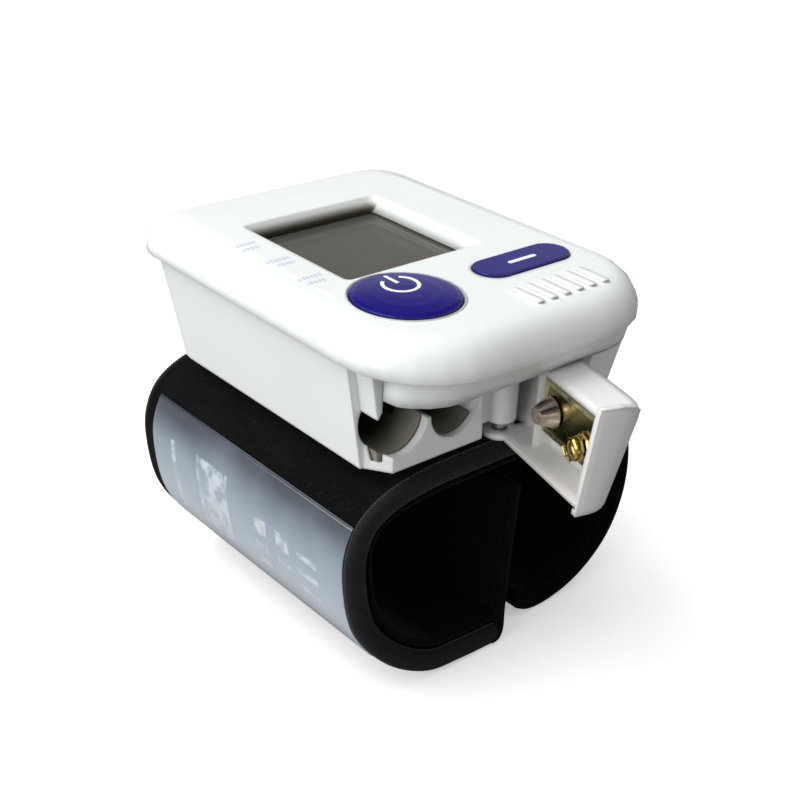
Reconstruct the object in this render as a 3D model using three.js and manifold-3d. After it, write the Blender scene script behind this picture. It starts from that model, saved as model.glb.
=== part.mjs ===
// Wrist blood pressure monitor standing on its curled cuff, battery door open.
// Millimetres. X to the right of the reader, Y away from the reader, Z up.
// The origin is on the floor, under the middle of the housing.
import * as THREE from "three";
import { mergeVertices } from "three/addons/utils/BufferGeometryUtils.js";
import Module from "manifold-3d";

const wasm = await Module();
wasm.setup();

// Shared clearances
const fit = 0.3; // gap between neighbouring pieces
const over = 1; // how far a cut runs past the face that it opens
const arcSteps = 6; // points in a quarter turn of an outline
const roundSides = 28; // sides of a visible round piece
const smallSides = 16; // sides of a small round piece

// Cuff: the band, seen along Y, with the height that carries the housing
const cuff = {
  height: 43.5, front: -28, length: 62.4,
  leftX: -31, sleeve: 1.6, former: 0.7, bladder: 1.3, lining: 1.4, gap: 0.3,
  footLeft: -11.5, footRight: 4.9, foot: 0.5, shoulderX: 17,
  binding: 2.4, film: 0.3, bladderInset: 3,
};
const tip = { bottomX: 4.9, topX: 7.7, clear: 4, sleeve: 1.7, lining: 1.3, gap: 0.3 };
const flap = {
  rightX: 38.5, lift: 0.5, endX: 12.5, sleeve: 1.7, lining: 1.3, gap: 0.3, setback: 3.5,
  bendShare: 0.4, turnUp: 4,
};

// Plate between the cuff and the housing
const plate = { thickness: 1, half: 17.5, front: -16.5, back: 24, corner: 3 };

// Lower housing: half widths and fronts at its bottom and at the parting line
const housing = {
  bottomHalf: 24.9, topHalf: 28.2, bottomFront: -31.2, topFront: -35.4,
  bottomBack: 32.6, topBack: 37.6, bottomCorner: 6, topCorner: 9,
  wall: 1.6, floor: 1.6,
};

// Top cover: the widest line is the rim, a soft border runs round the flat top
const cover = {
  half: 29.9, front: 39.4, back: 39.3, frontCorner: 17.5, backCorner: 9.5,
  rimRise: 0.6, depth: 6.6, wall: 1.8, edgeIn: 0.9, shoulder: 5.2, borderDrop: 0.7,
  fadeFrom: 5, fadeTo: -22, bossRadius: 3, pilot: 1.3,
};
const flatTop = { sideIn: 6.7, frontIn: 5.4, backIn: 11.3, frontCorner: 13, backCorner: 2.4 };

// Lip of the cover, which hangs lower in front of the battery bay
const lip = { sideIn: 2.3, frontIn: 3.3, corner: 11.7, drop: 4.2, end: 11 };

// Display, buttons and sound ribs on the top face
const well = { x: -2.6, fromFront: 45.4, width: 29.6, bottomWidth: 26.6, depth: 2.5, corner: 1.2, rim: 1.6 };
const glass = { thickness: 1, lap: 1.2 };
const panel = { thickness: 1.8, lap: 0.6 };
const frame = { wall: 1.2 };
const start = {
  x: -13.7, y: 20.5 - cover.front, radius: 9, proud: 0.35, skirt: 0.8, stem: 1.6, travel: 0.7,
  dome: 0.5, domeShares: [[0.9, 0.5], [0.62, 0.85], [0.3, 1]],
};
const memory = { x: 12.1, y: 20.8 - cover.front, length: 20, width: 7, proud: 0.4, skirt: 0.8, stem: 1.4, travel: 0.7 };
const rib = { count: 6, pitch: 3, width: 1.5, length: 6.6, proud: 0.45, x: 9.6, y: 9.4 - cover.front };
const buzzer = { radius: 4.2, thickness: 2.2, collar: 0.8 };

// Circuit board with its parts
const board = { thickness: 1.6, half: 24, front: -24, back: 33, clear: 2.4, belowCover: 8, corner: 3 };
const pushSwitch = { side: 5, height: 1.6, plunger: 1.2, plungerHeight: 1 };
const chip = { x: -4, y: 27, side: 9, height: 1.2 };

// Battery bay in the front, with two cells side by side along Y
const cell = { bore: 5.5, pitch: 11.7, length: 44.5, x: -14.35, lift: 1 };
const bay = {
  setback: 4.6, turn: 2.8, wall: 1.5, cusp: 6.3, leftX: -21.6, rightX: -2.2, post: 1.5, seamY: -22.5,
  throat: 6, ribWall: 2, ribCount: 3, backTop: 6, shoulder: 2.6,
};
const backContact = { thickness: 0.4, side: 8, springRadius: 2.6, wire: 0.35, turns: 4, length: 5 };

// Battery door on its upright pin
const door = {
  pivotX: 3.5, pivotY: -25, sweep: 9.9, openTurn: 75, wall: 1.2, ledge: 1.1,
  knuckle: 3.1, pin: 1, barrel: 2.7, pocketWall: 1.2, sillDepth: 7, cheek: 1.2,
  wrapPlaces: [[4.5, 0.95], [7.2, 0.72], [9.6, 0.3], [10.8, 0]],
};
const doorContact = {
  thickness: 0.4, half: 8.9, height: 9.6, setback: 1.1, cupBase: 2.7, cupTop: 1.5, cupHeight: 3,
  cupWall: 0.5, coilBase: 2.3, coilTop: 1.6, wire: 0.3, turns: 4, coilHeight: 3.8,
};

// Pump side of the housing
const motor = { radius: 6, length: 16.5, x: 8.6, front: 6.5, capRadius: 3, cap: 1.2 };
const head = { side: 11.5, length: 9 };
const valve = { x: 12, y: -8.5, width: 10, length: 8, height: 8, nozzle: 1.5, nozzleHeight: 2 };
const sensor = { x: 0.5, y: 27, side: 6, height: 4, nozzle: 1.2, nozzleHeight: 2 };
const hose = { outer: 1.6, inner: 0.8 };
const nipple = { x: 0.5, y: 6, radius: 2.2, rise: 4, bore: 1, flange: 3.4, flangeThickness: 0.8 };
const screw = { shank: 1, head: 2, headHeight: 1.4, backX: 17.5, backY: 25.6, frontX: 19.5, frontY: -26.2 };
const boardScrew = { shank: 0.8, head: 1.6, headHeight: 0.9, x: 21.5, y: 12 };

// Heights that follow from the sizes above
const plateBottom = cuff.height + fit;
const plateTop = plateBottom + plate.thickness;
const bottomZ = plateTop + fit;
const floorTop = bottomZ + housing.floor;
const tallest = Math.max(cell.lift + 2 * cell.bore, fit + 2 * motor.radius, fit + head.side);
const boardBottom = floorTop + tallest + board.clear;
const boardTop = boardBottom + board.thickness;
const topZ = boardTop + board.belowCover;
const underTop = topZ - cover.wall;
const edgeZ = topZ - cover.depth;
const partZ = edgeZ - fit;
const lipZ = edgeZ - lip.drop;
const ledgeTop = lipZ - fit;
const boreZ = floorTop + cell.lift + cell.bore;
const frontWallY = housing.bottomFront + bay.setback;
const cellX = [cell.x - cell.pitch / 2, cell.x + cell.pitch / 2];
const cellBack = frontWallY + bay.wall + cell.length;
const lipEndY = lip.end - cover.front;
const wellY = well.fromFront - cover.front;
const buzzerY = cover.wall + cover.shoulder + buzzer.radius - cover.front;

// A size of the housing at a height, between its bottom and the parting line
const taper = (from, to, z) => from + ((to - from) * (z - bottomZ)) / (partZ - bottomZ);
const lipTurn = door.pivotX + taper(housing.bottomHalf, housing.topHalf, lipZ) - door.wall - fit;

// Colours and finishes
const finish = (color, roughness, metalness = 0) =>
  new THREE.MeshStandardMaterial({ color, roughness, metalness });
const look = {
  white: finish(0xf1f1ee, 0.35), inner: finish(0xe2e3e2, 0.5), blue: finish(0x221a7d, 0.4),
  glass: finish(0x5f5e56, 0.15), lcd: finish(0x70766c, 0.3), green: finish(0x1d5b37, 0.6),
  black: finish(0x161618, 0.7), steel: finish(0xb9bcc0, 0.35, 1), brass: finish(0xc9b070, 0.3, 1),
  cloth: finish(0x101012, 0.95), bladder: finish(0x3a3d42, 0.6), film: finish(0x8c9094, 0.15),
  hose: finish(0xd9dad6, 0.5),
};

// Solids
function toSolid(geometry) {
  for (const name of ["normal", "uv"]) geometry.deleteAttribute(name);
  const merged = mergeVertices(geometry, 1e-4);
  const vertProperties = new Float32Array(merged.attributes.position.array);
  const triVerts = new Uint32Array(merged.index.array);
  return new wasm.Manifold(new wasm.Mesh({ numProp: 3, vertProperties, triVerts }));
}

function toGeometry(solid) {
  const mesh = solid.getMesh();
  const geometry = new THREE.BufferGeometry();
  geometry.setAttribute("position", new THREE.BufferAttribute(new Float32Array(mesh.vertProperties), 3));
  geometry.setIndex(new THREE.BufferAttribute(new Uint32Array(mesh.triVerts), 1));
  return geometry;
}

const join = (solids) => solids.reduce((whole, solid) => whole.add(solid));

function box(x0, x1, y0, y1, z0, z1) {
  const geometry = new THREE.BoxGeometry(x1 - x0, y1 - y0, z1 - z0);
  return toSolid(geometry.translate((x0 + x1) / 2, (y0 + y1) / 2, (z0 + z1) / 2));
}

// A round piece standing on z0, with its own radius at the bottom and the top
function post(x, y, radius, z0, z1, sides = smallSides, topRadius = radius) {
  const geometry = new THREE.CylinderGeometry(topRadius, radius, z1 - z0, sides);
  return toSolid(geometry.rotateX(Math.PI / 2).translate(x, y, (z0 + z1) / 2));
}

// A round piece lying along Y
function barrel(x, z, radius, y0, y1, sides = smallSides, endRadius = radius) {
  const geometry = new THREE.CylinderGeometry(endRadius, radius, y1 - y0, sides);
  return toSolid(geometry.translate(x, (y0 + y1) / 2, z));
}

// A plan outline raised from z0 to z1
function prism(points, z0, z1) {
  const geometry = new THREE.ExtrudeGeometry(new THREE.Shape(points), { depth: z1 - z0, bevelEnabled: false });
  return toSolid(geometry.translate(0, 0, z0));
}

// An outline in X and Z run from y0 to y1
function sweepY(points, y0, y1) {
  const geometry = new THREE.ExtrudeGeometry(new THREE.Shape(points), { depth: y1 - y0, bevelEnabled: false });
  return toSolid(geometry.rotateX(Math.PI / 2).translate(0, y1, 0));
}

// An outline in Y and Z run from x0 to x1
function sweepX(points, x0, x1) {
  const geometry = new THREE.ExtrudeGeometry(new THREE.Shape(points), { depth: x1 - x0, bevelEnabled: false });
  return toSolid(geometry.rotateX(Math.PI / 2).rotateZ(Math.PI / 2).translate(x0, 0, 0));
}

const at = (x, y) => new THREE.Vector2(x, y);

// A rounded rectangle in plan, counter-clockwise, which may have other corners at the back
function roundedPlan(left, right, front, back, corner, backCorner = corner) {
  const centres = [
    [right - corner, front + corner, corner], [right - backCorner, back - backCorner, backCorner],
    [left + backCorner, back - backCorner, backCorner], [left + corner, front + corner, corner],
  ];
  return centres.flatMap(([x, y, radius], quarter) => Array.from({ length: arcSteps + 1 }, (_, step) => {
    const angle = (quarter - 1 + step / arcSteps) * (Math.PI / 2);
    return at(x + radius * Math.cos(angle), y + radius * Math.sin(angle));
  }));
}

// A closed body through equal outlines at rising heights, where a level may sag
function loft(levels) {
  const count = levels[0].outline.length;
  const position = levels.flatMap(({ outline, z, sag = () => 0 }) => (
    outline.flatMap((point) => [point.x, point.y, z - sag(point)])));
  const index = [];
  for (let level = 0; level + 1 < levels.length; level += 1) {
    for (let side = 0; side < count; side += 1) {
      const a = level * count + side;
      const b = level * count + ((side + 1) % count);
      index.push(a, b, b + count, a, b + count, a + count);
    }
  }
  const cap = THREE.ShapeUtils.triangulateShape(levels[0].outline, []);
  const last = (levels.length - 1) * count;
  for (const [a, b, c] of cap) index.push(c, b, a, a + last, b + last, c + last);
  const geometry = new THREE.BufferGeometry();
  geometry.setAttribute("position", new THREE.Float32BufferAttribute(position, 3));
  geometry.setIndex(index);
  return toSolid(geometry);
}

// The tapered tub of the lower housing, drawn in by an inset
function tub(inset, z0, z1) {
  const outlineAt = (z) => {
    const half = taper(housing.bottomHalf, housing.topHalf, z) - inset;
    const front = taper(housing.bottomFront, housing.topFront, z) + inset;
    const back = taper(housing.bottomBack, housing.topBack, z) - inset;
    return roundedPlan(-half, half, front, back, taper(housing.bottomCorner, housing.topCorner, z) - inset);
  };
  return loft([z0, z1].map((z) => ({ z, outline: outlineAt(z) })));
}

// The top cover's outer form, drawn in by an inset, from the lip's edge to the top face
function crown(inset, z0) {
  const outlineAt = (side, front = side, back = side, corner = cover.frontCorner, backCorner = cover.backCorner) => (
    roundedPlan(side - cover.half, cover.half - side, front - cover.front, cover.back - back, corner, backCorner));
  const drawnIn = (drawIn) => (
    outlineAt(drawIn, drawIn, drawIn, cover.frontCorner - drawIn, cover.backCorner - drawIn));
  const border = (point) => (
    cover.borderDrop * Math.min(1, Math.max(0, (point.y - cover.fadeTo) / (cover.fadeFrom - cover.fadeTo))));
  const levels = [
    { z: z0, outline: outlineAt(inset + lip.sideIn, inset + lip.frontIn, inset + lip.sideIn, lip.corner - inset) },
    { z: edgeZ, outline: drawnIn(inset + cover.edgeIn) },
  ];
  const turnRise = cover.depth - cover.rimRise - inset;
  for (let step = 0; step <= arcSteps; step += 1) {
    const angle = (step / arcSteps) * (Math.PI / 2);
    levels.push({
      z: edgeZ + cover.rimRise + turnRise * Math.sin(angle), sag: (point) => border(point) * Math.sin(angle),
      outline: drawnIn(inset + cover.shoulder * (1 - Math.cos(angle))),
    });
  }
  levels.push({
    z: topZ - inset,
    outline: outlineAt(inset + flatTop.sideIn, inset + flatTop.frontIn, inset + flatTop.backIn,
      flatTop.frontCorner - inset, flatTop.backCorner - inset),
  });
  return loft(levels);
}

// What lies below the parting line, which runs level and drops to the lip at the front
function belowParting(rise) {
  const reach = cover.front + over;
  const step = lipEndY - rise;
  const points = [
    at(-reach, -over), at(reach, -over), at(reach, edgeZ + rise), at(step, edgeZ + rise),
    at(step, lipZ + rise), at(-reach, lipZ + rise),
  ];
  return sweepX(points, -cover.half - over, cover.half + over);
}

// What lies below the door's upper edge, which falls from the seam to the ledge round the corner
function belowWrap() {
  const reach = cover.front + over;
  const edge = door.wrapPlaces.map(([from, share]) => at(bay.seamY - from, ledgeTop + (partZ - ledgeTop) * share));
  const points = [at(-reach, -over), at(reach, -over), at(reach, partZ), at(bay.seamY, partZ), ...edge, at(-reach, ledgeTop)];
  return sweepX(points, -cover.half - over, cover.half + over);
}

// The opening for the door: in front of the bay wall, left of the pocket that the door turns in
function doorZone(gap) {
  const far = cover.half + over;
  const points = [
    at(-far, bay.seamY - gap), at(bay.leftX - bay.turn, bay.seamY - gap),
    at(bay.leftX, frontWallY - gap), at(door.pivotX, frontWallY - gap),
    at(door.pivotX, -cover.front), at(-far, -cover.front),
  ];
  const side = prism(points, bottomZ - over, partZ + over);
  const turn = post(door.pivotX, door.pivotY, door.sweep + fit - gap, bottomZ - over, partZ + over, roundSides)
    .subtract(box(-far, bay.rightX, frontWallY - gap, 0, 0, topZ));
  return side.add(turn);
}

// A wire coil along Y with straight closed ends, as one unbroken tube
function coil(x, z, baseRadius, topRadius, wire, turns, y0, y1) {
  const stepsPerTurn = 8;
  const steps = turns * stepsPerTurn;
  const points = Array.from({ length: steps + 1 }, (_, step) => {
    const share = step / steps;
    const radius = baseRadius + (topRadius - baseRadius) * share;
    const angle = share * turns * 2 * Math.PI;
    return new THREE.Vector3(x + radius * Math.cos(angle), y0 + (y1 - y0) * share, z + radius * Math.sin(angle));
  });
  let leastGap = Infinity;
  points.forEach((point, first) => {
    for (let next = first + stepsPerTurn - 1; next < points.length; next += 1) {
      leastGap = Math.min(leastGap, point.distanceTo(points[next]) - 2 * wire);
    }
  });
  console.log(`least gap of the coil to itself: ${leastGap.toFixed(2)}`);
  const section = new THREE.Shape(Array.from({ length: 5 }, (_, side) => (
    at(wire * Math.cos((side / 5) * 2 * Math.PI), wire * Math.sin((side / 5) * 2 * Math.PI))
  )));
  const extrudePath = new THREE.CatmullRomCurve3(points);
  return toSolid(new THREE.ExtrudeGeometry(section, { steps, extrudePath, bevelEnabled: false }));
}

// A band of the cuff: a strip of its path, from one depth under the outer face to another
function strip(path, from, to, depth0, depth1, steps, turn = 1) {
  const outer = [];
  const inner = [];
  for (let step = 0; step <= steps; step += 1) {
    const share = from + ((to - from) * step) / steps;
    const point = path.getPointAt(share);
    const along = path.getTangentAt(share);
    const inward = at(-along.y, along.x).multiplyScalar(turn);
    outer.push(point.clone().addScaledVector(inward, depth0));
    inner.push(point.clone().addScaledVector(inward, depth1));
  }
  return outer.concat(inner.reverse());
}

const cuffBack = cuff.front + cuff.length;

function bandPath(places) {
  return new THREE.CatmullRomCurve3(places.map(([x, z]) => new THREE.Vector3(x, z, 0)), false, "centripetal");
}

// Outer face of the left curl, from the shoulder over the left side to the foot's right end
const curlShares = [[0.55, 0.96], [0.86, 0.87], [1, 0.64], [0.93, 0.36], [0.68, 0.13]];
const curlPath = bandPath([
  [cuff.shoulderX, cuff.height], [0, cuff.height],
  ...curlShares.map(([across, up]) => [cuff.leftX * across, cuff.height * up]),
  [cuff.footLeft, 0], [cuff.footRight, 0],
]);

// Outer face of the right flap, from its root round the right side to its loose end
const flapShares = [[0.8, 0.93], [0.96, 0.76], [1, 0.58], [0.95, 0.36], [0.8, 0.15], [0.6, 0.02]];
const flapPath = bandPath([
  [cuff.shoulderX, cuff.height],
  ...flapShares.map(([across, up]) => [flap.rightX * across, cuff.height * up]),
  [flap.endX + flap.turnUp, flap.lift], [flap.endX, flap.lift + flap.turnUp / 2],
]);

const flat = (path) => ({
  getPointAt: (share) => at(path.getPointAt(share).x, path.getPointAt(share).y),
  getTangentAt: (share) => at(path.getTangentAt(share).x, path.getTangentAt(share).y).normalize(),
});

const curlDepth = cuff.sleeve + cuff.former + cuff.bladder + cuff.lining + 3 * cuff.gap;
const curlSteps = 34;
const flapSteps = 26;
const edgeFrontY = cuff.front + cuff.binding;
const edgeBackY = cuffBack - cuff.binding;

function curlLayer(depth0, depth1, y0 = edgeFrontY + fit, y1 = edgeBackY - fit, from = 0, to = 1) {
  return sweepY(strip(flat(curlPath), from, to, depth0, depth1, curlSteps), y0, y1);
}

function buildCuff() {
  const top = box(-cuff.shoulderX, cuff.shoulderX, cuff.front - over, cuffBack + over, cuff.height, topZ);
  const foot = box(cuff.leftX, cuff.shoulderX, cuff.front - over, cuffBack + over, -cuff.height, 0);
  const sleeve = curlLayer(0, cuff.sleeve).subtract(top).subtract(foot);
  const nippleHole = post(nipple.x, nipple.y, nipple.flange + fit, cuff.height / 2, topZ);
  const formerTop = cuff.sleeve + cuff.gap;
  const bladderTop = formerTop + cuff.former + cuff.gap;
  const liningTop = bladderTop + cuff.bladder + cuff.gap;
  const formerShares = [0.02, 0.96];
  const bladderShares = [0.04, 0.94];
  const filmShares = [0.43, 0.7];
  const innerLayer = (depth, thickness, [from, to]) => (
    curlLayer(depth, depth + thickness, edgeFrontY + cuff.bladderInset, edgeBackY - cuff.bladderInset, from, to)
  );
  const edge = (y0, y1) => curlLayer(0, curlDepth, y0, y1).subtract(top).subtract(foot);
  const flapDepth = flap.sleeve + flap.gap + flap.lining;
  const flapLayer = (depth0, depth1, y0, y1, from = 0, to = 1) => (
    sweepY(strip(flat(flapPath), from, to, depth0, depth1, flapSteps, -1), y0, y1)
  );
  const flapFront = cuff.front + flap.setback;
  const bendRadius = flapDepth / 2;
  const bendAt = flapPath.getPointAt(flap.bendShare);
  const bendAlong = flapPath.getTangentAt(flap.bendShare);
  const bend = at(bendAt.x + bendAlong.y * bendRadius, bendAt.y - bendAlong.x * bendRadius);
  const roller = (centre, radius) => barrel(centre.x, centre.y, radius, cuff.front - over, cuffBack + over, roundSides);
  const flapPiece = (depth0, depth1, y0, y1) => {
    const upper = flapLayer(depth0, depth1, y0, y1, 0, flap.bendShare).subtract(roller(bend, bendRadius + fit))
      .subtract(box(0, cuff.shoulderX + fit, cuff.front - over, cuffBack + over, 0, topZ));
    const lead = flapLayer(depth0, depth1, y0, y1, flap.bendShare / 2, flap.bendShare)
      .intersect(roller(bend, bendRadius));
    return { upper, end: flapLayer(depth0, depth1, y0, y1, flap.bendShare, 1).add(lead) };
  };
  const flapOuter = flapPiece(0, flap.sleeve, flapFront, cuffBack);
  const flapInner = flapPiece(flap.sleeve + flap.gap, flapDepth, flapFront + flap.sleeve, cuffBack - flap.sleeve);
  const tipDepth = tip.sleeve + tip.gap + tip.lining;
  const tipFoot = curlDepth + fit;
  const tipTop = cuff.height - curlDepth - tip.clear;
  const tipX = (depth, z) => tip.bottomX + (tip.topX - tip.bottomX) * (z / tipTop) - depth;
  const tipBend = at(tipX(tipDepth / 2, tipFoot), tipFoot + tipDepth / 2);
  const tipBand = (depth0, depth1, y0, y1) => {
    const corner = (depth, z) => at(tipX(depth, z), z);
    const outline = [corner(depth0, tipFoot), corner(depth0, tipTop), corner(depth1, tipTop), corner(depth1, tipFoot)];
    const below = box(cuff.leftX, flap.rightX, cuff.front - over, cuffBack + over, 0, tipBend.y);
    return sweepY(outline, y0, y1).subtract(below.subtract(roller(tipBend, tipDepth / 2)));
  };
  console.log(`flap bend at ${bend.x.toFixed(2)}, ${bend.y.toFixed(2)}; tip bend at ${tipBend.x.toFixed(2)}, ${tipBend.y.toFixed(2)}`);
  return {
    cuff_sleeve: [sleeve.subtract(nippleHole), look.cloth],
    cuff_former: [innerLayer(formerTop, cuff.former, formerShares).subtract(nippleHole), look.hose],
    cuff_bladder: [innerLayer(bladderTop, cuff.bladder, bladderShares), look.bladder],
    cuff_lining: [curlLayer(liningTop, liningTop + cuff.lining), look.cloth],
    cuff_edge_front: [edge(cuff.front, edgeFrontY), look.cloth],
    cuff_edge_back: [edge(edgeBackY, cuffBack), look.cloth],
    cuff_film: [curlLayer(-fit - cuff.film, -fit, edgeFrontY + cuff.binding, edgeBackY - cuff.binding, ...filmShares),
      look.film],
    cuff_tip: [tipBand(0, tip.sleeve, cuff.front, cuffBack), look.cloth],
    cuff_tip_lining: [tipBand(tip.sleeve + tip.gap, tipDepth, cuff.front + tip.sleeve, cuffBack - tip.sleeve), look.cloth],
    cuff_flap: [flapOuter.upper, look.cloth],
    cuff_flap_lining: [flapInner.upper, look.cloth],
    cuff_flap_end: [flapOuter.end, look.cloth],
    cuff_flap_end_lining: [flapInner.end, look.cloth],
  };
}

// Screw places: two at the back, one at the right front
const screwPlaces = [[-screw.backX, screw.backY], [screw.backX, screw.backY], [screw.frontX, screw.frontY]];
const boardScrewPlaces = [[-boardScrew.x, boardScrew.y], [boardScrew.x, boardScrew.y]];
const bossTop = boardBottom - fit;

function buildHousing() {
  const shell = tub(0, bottomZ, partZ).subtract(tub(housing.wall, floorTop, partZ + over));
  let body = shell.subtract(doorZone(0));
  const bossRadius = cover.bossRadius;
  for (const [x, y] of screwPlaces) body = body.add(post(x, y, bossRadius, bottomZ, bossTop));
  const wallTop = boreZ - cell.bore + bay.cusp - cell.lift;
  const frontWall = box(bay.leftX - bay.turn, bay.rightX, frontWallY, frontWallY + bay.wall, bottomZ, wallTop);
  const sidePost = box(bay.rightX - bay.post, bay.rightX, frontWallY, frontWallY + bay.throat, bottomZ, boardBottom - fit);
  const inside = tub(0, bottomZ, partZ);
  const shoulderAt = (y0, y1) => box(-cover.half, -board.half - fit, y0, y1, boreZ + bay.shoulder, partZ);
  const shoulder = shoulderAt(frontWallY, bay.seamY + fit).intersect(tub(door.wall + fit, bottomZ, partZ))
    .add(shoulderAt(bay.seamY, bay.seamY + housing.wall).intersect(inside));
  body = body.add(frontWall.intersect(inside).subtract(doorZone(0))).add(sidePost).add(shoulder);
  for (const x of cellX) body = body.subtract(barrel(x, boreZ, cell.bore, frontWallY - over, cellBack, roundSides));
  const pocketRadius = door.sweep + fit;
  const knuckleBottom = floorTop;
  const knuckleTop = ledgeTop - door.ledge - fit;
  const pocket = post(door.pivotX, door.pivotY, pocketRadius + door.pocketWall, bottomZ, boardBottom - fit, roundSides)
    .subtract(post(door.pivotX, door.pivotY, pocketRadius, bottomZ - over, topZ, roundSides))
    .intersect(inside)
    .subtract(box(-cover.half, bay.rightX, -cover.front, 0, 0, topZ))
    .subtract(box(-cover.half, door.pivotX, -cover.front, door.pivotY, 0, topZ));
  const web = box(bay.rightX - bay.post, door.pivotX, door.pivotY, door.pivotY + door.pocketWall, knuckleBottom, knuckleTop);
  body = body.add(pocket).add(web).add(post(door.pivotX, door.pivotY, door.barrel, knuckleBottom, knuckleTop, roundSides));
  body = body.subtract(post(door.pivotX, door.pivotY, door.pin + fit, bottomZ - over, topZ));
  const faceRight = door.pivotX + door.pivotY - housing.topFront + 2 * fit;
  const faceBack = door.pivotY - (faceRight - door.pivotX) / 3;
  const faceRoom = box(door.pivotX, faceRight, -cover.front, faceBack, bottomZ - over, topZ);
  const faceWall = box(door.pivotX, faceRight + housing.wall, -cover.front, faceBack + door.pocketWall,
    bottomZ, boardBottom - fit).subtract(post(door.pivotX, door.pivotY, pocketRadius, bottomZ - over, topZ, roundSides));
  body = body.add(faceWall.intersect(inside)).subtract(faceRoom);
  for (const [x, y] of screwPlaces) {
    body = body.subtract(post(x, y, screw.shank + fit, bottomZ - over, topZ));
    body = body.subtract(post(x, y, screw.head + fit, bottomZ - over, floorTop + screw.headHeight));
  }
  body = body.subtract(post(nipple.x, nipple.y, nipple.radius + fit, bottomZ - over, floorTop + over));
  return body.intersect(belowParting(-fit));
}

function buildCover() {
  const shell = crown(0, lipZ).subtract(crown(cover.wall, lipZ - over));
  const turnPost = (radius) => post(door.pivotX, door.pivotY, radius, lipZ, edgeZ, 4 * roundSides);
  const cornerRoom = box(-cover.front, bay.leftX / 2, -cover.front, lipEndY, lipZ - over, edgeZ);
  const corner = turnPost(lipTurn).subtract(turnPost(lipTurn - cover.wall)).intersect(crown(0, lipZ)).intersect(cornerRoom);
  let body = shell.subtract(belowParting(0)).subtract(cornerRoom.subtract(turnPost(lipTurn))).add(corner);
  const halfWell = well.width / 2;
  const halfBottom = well.bottomWidth / 2;
  const square = (half, corner) => roundedPlan(well.x - half, well.x + half, wellY - half, wellY + half, corner);
  const wellBottom = topZ - well.depth;
  const surround = prism(square(halfWell + well.rim, well.corner + well.rim), wellBottom, topZ - cover.wall / 2);
  const slope = (halfWell - halfBottom) / well.depth;
  const opening = loft([
    { z: wellBottom - over, outline: square(halfBottom - slope * over, well.corner) },
    { z: topZ + over, outline: square(halfWell + slope * over, well.corner) },
  ]);
  const clearButtons = post(start.x, start.y, start.radius + start.skirt + fit, 0, underTop, roundSides);
  body = body.add(surround.subtract(clearButtons)).subtract(opening);
  body = body.subtract(post(start.x, start.y, start.radius + fit, underTop - over, topZ + over, roundSides));
  body = body.subtract(prism(memoryPlan(fit), underTop - over, topZ + over));
  for (let number = 0; number < rib.count; number += 1) {
    const x = rib.x + (number - (rib.count - 1) / 2) * rib.pitch;
    const plan = roundedPlan(x - rib.width / 2, x + rib.width / 2, rib.y - rib.length / 2, rib.y + rib.length / 2,
      rib.width / 2 - fit);
    body = body.add(prism(plan, underTop, topZ + rib.proud));
  }
  for (const [x, y] of screwPlaces) {
    const boss = post(x, y, cover.bossRadius, bossTop + board.thickness + 2 * fit, underTop);
    body = body.add(boss).subtract(post(x, y, cover.pilot, 0, underTop - fit));
  }
  for (const [x, y] of boardScrewPlaces) {
    const boss = post(x, y, boardScrew.shank + cover.wall, boardTop + fit, underTop);
    body = body.add(boss).subtract(post(x, y, boardScrew.shank + fit, 0, underTop - fit));
  }
  const collar = post(rib.x, buzzerY, buzzer.radius + fit + buzzer.collar, underTop - buzzer.thickness, underTop, roundSides)
    .subtract(post(rib.x, buzzerY, buzzer.radius + fit, 0, underTop, roundSides))
    .intersect(crown(cover.wall / 2, lipZ));
  const memoryRoom = prism(memoryPlan(memory.skirt + fit), 0, underTop);
  return body.add(collar.subtract(memoryRoom));
}

function memoryPlan(grow) {
  const halfLength = memory.length / 2 + grow;
  const halfWidth = memory.width / 2 + grow;
  return roundedPlan(memory.x - halfLength, memory.x + halfLength, memory.y - halfWidth, memory.y + halfWidth, halfWidth);
}

// Buttons stand in their holes with a skirt under the cover and a stem over the switch
const switchTop = boardTop + pushSwitch.height + pushSwitch.plungerHeight;

function buildButtons() {
  const stemBottom = switchTop + fit / 2 + start.travel;
  const skirtTop = underTop - fit;
  const startSkirt = (radius) => post(start.x, start.y, radius, skirtTop - start.skirt, skirtTop, roundSides);
  const wellRoom = box(well.x - well.width, well.x + well.width, wellY - well.width / 2 - well.rim - fit, topZ, 0, topZ);
  const domeLevels = [[1, 0], ...start.domeShares]
    .map(([across, up]) => ({ radius: start.radius * across, z: topZ + start.proud + start.dome * up }));
  const dome = domeLevels.slice(1).map(({ radius, z }, below) => (
    post(start.x, start.y, domeLevels[below].radius, domeLevels[below].z, z, roundSides, radius)));
  const startButton = post(start.x, start.y, start.radius, skirtTop - start.skirt, topZ + start.proud, roundSides)
    .add(startSkirt(start.radius + start.skirt).subtract(wellRoom))
    .add(post(start.x, start.y, start.stem, stemBottom, skirtTop)).add(join(dome));
  const memoryButton = prism(memoryPlan(0), skirtTop - memory.skirt, topZ + memory.proud)
    .add(prism(memoryPlan(memory.skirt - fit), skirtTop - memory.skirt, skirtTop))
    .add(post(memory.x, memory.y, memory.stem, stemBottom, skirtTop));
  return { start_button: [startButton, look.blue], memory_button: [memoryButton, look.blue] };
}

function buildSwitch(place) {
  const half = pushSwitch.side / 2;
  const base = box(place.x - half, place.x + half, place.y - half, place.y + half, boardTop + fit, boardTop + pushSwitch.height);
  return base.add(post(place.x, place.y, pushSwitch.plunger, boardTop + pushSwitch.height - fit, switchTop));
}

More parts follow.
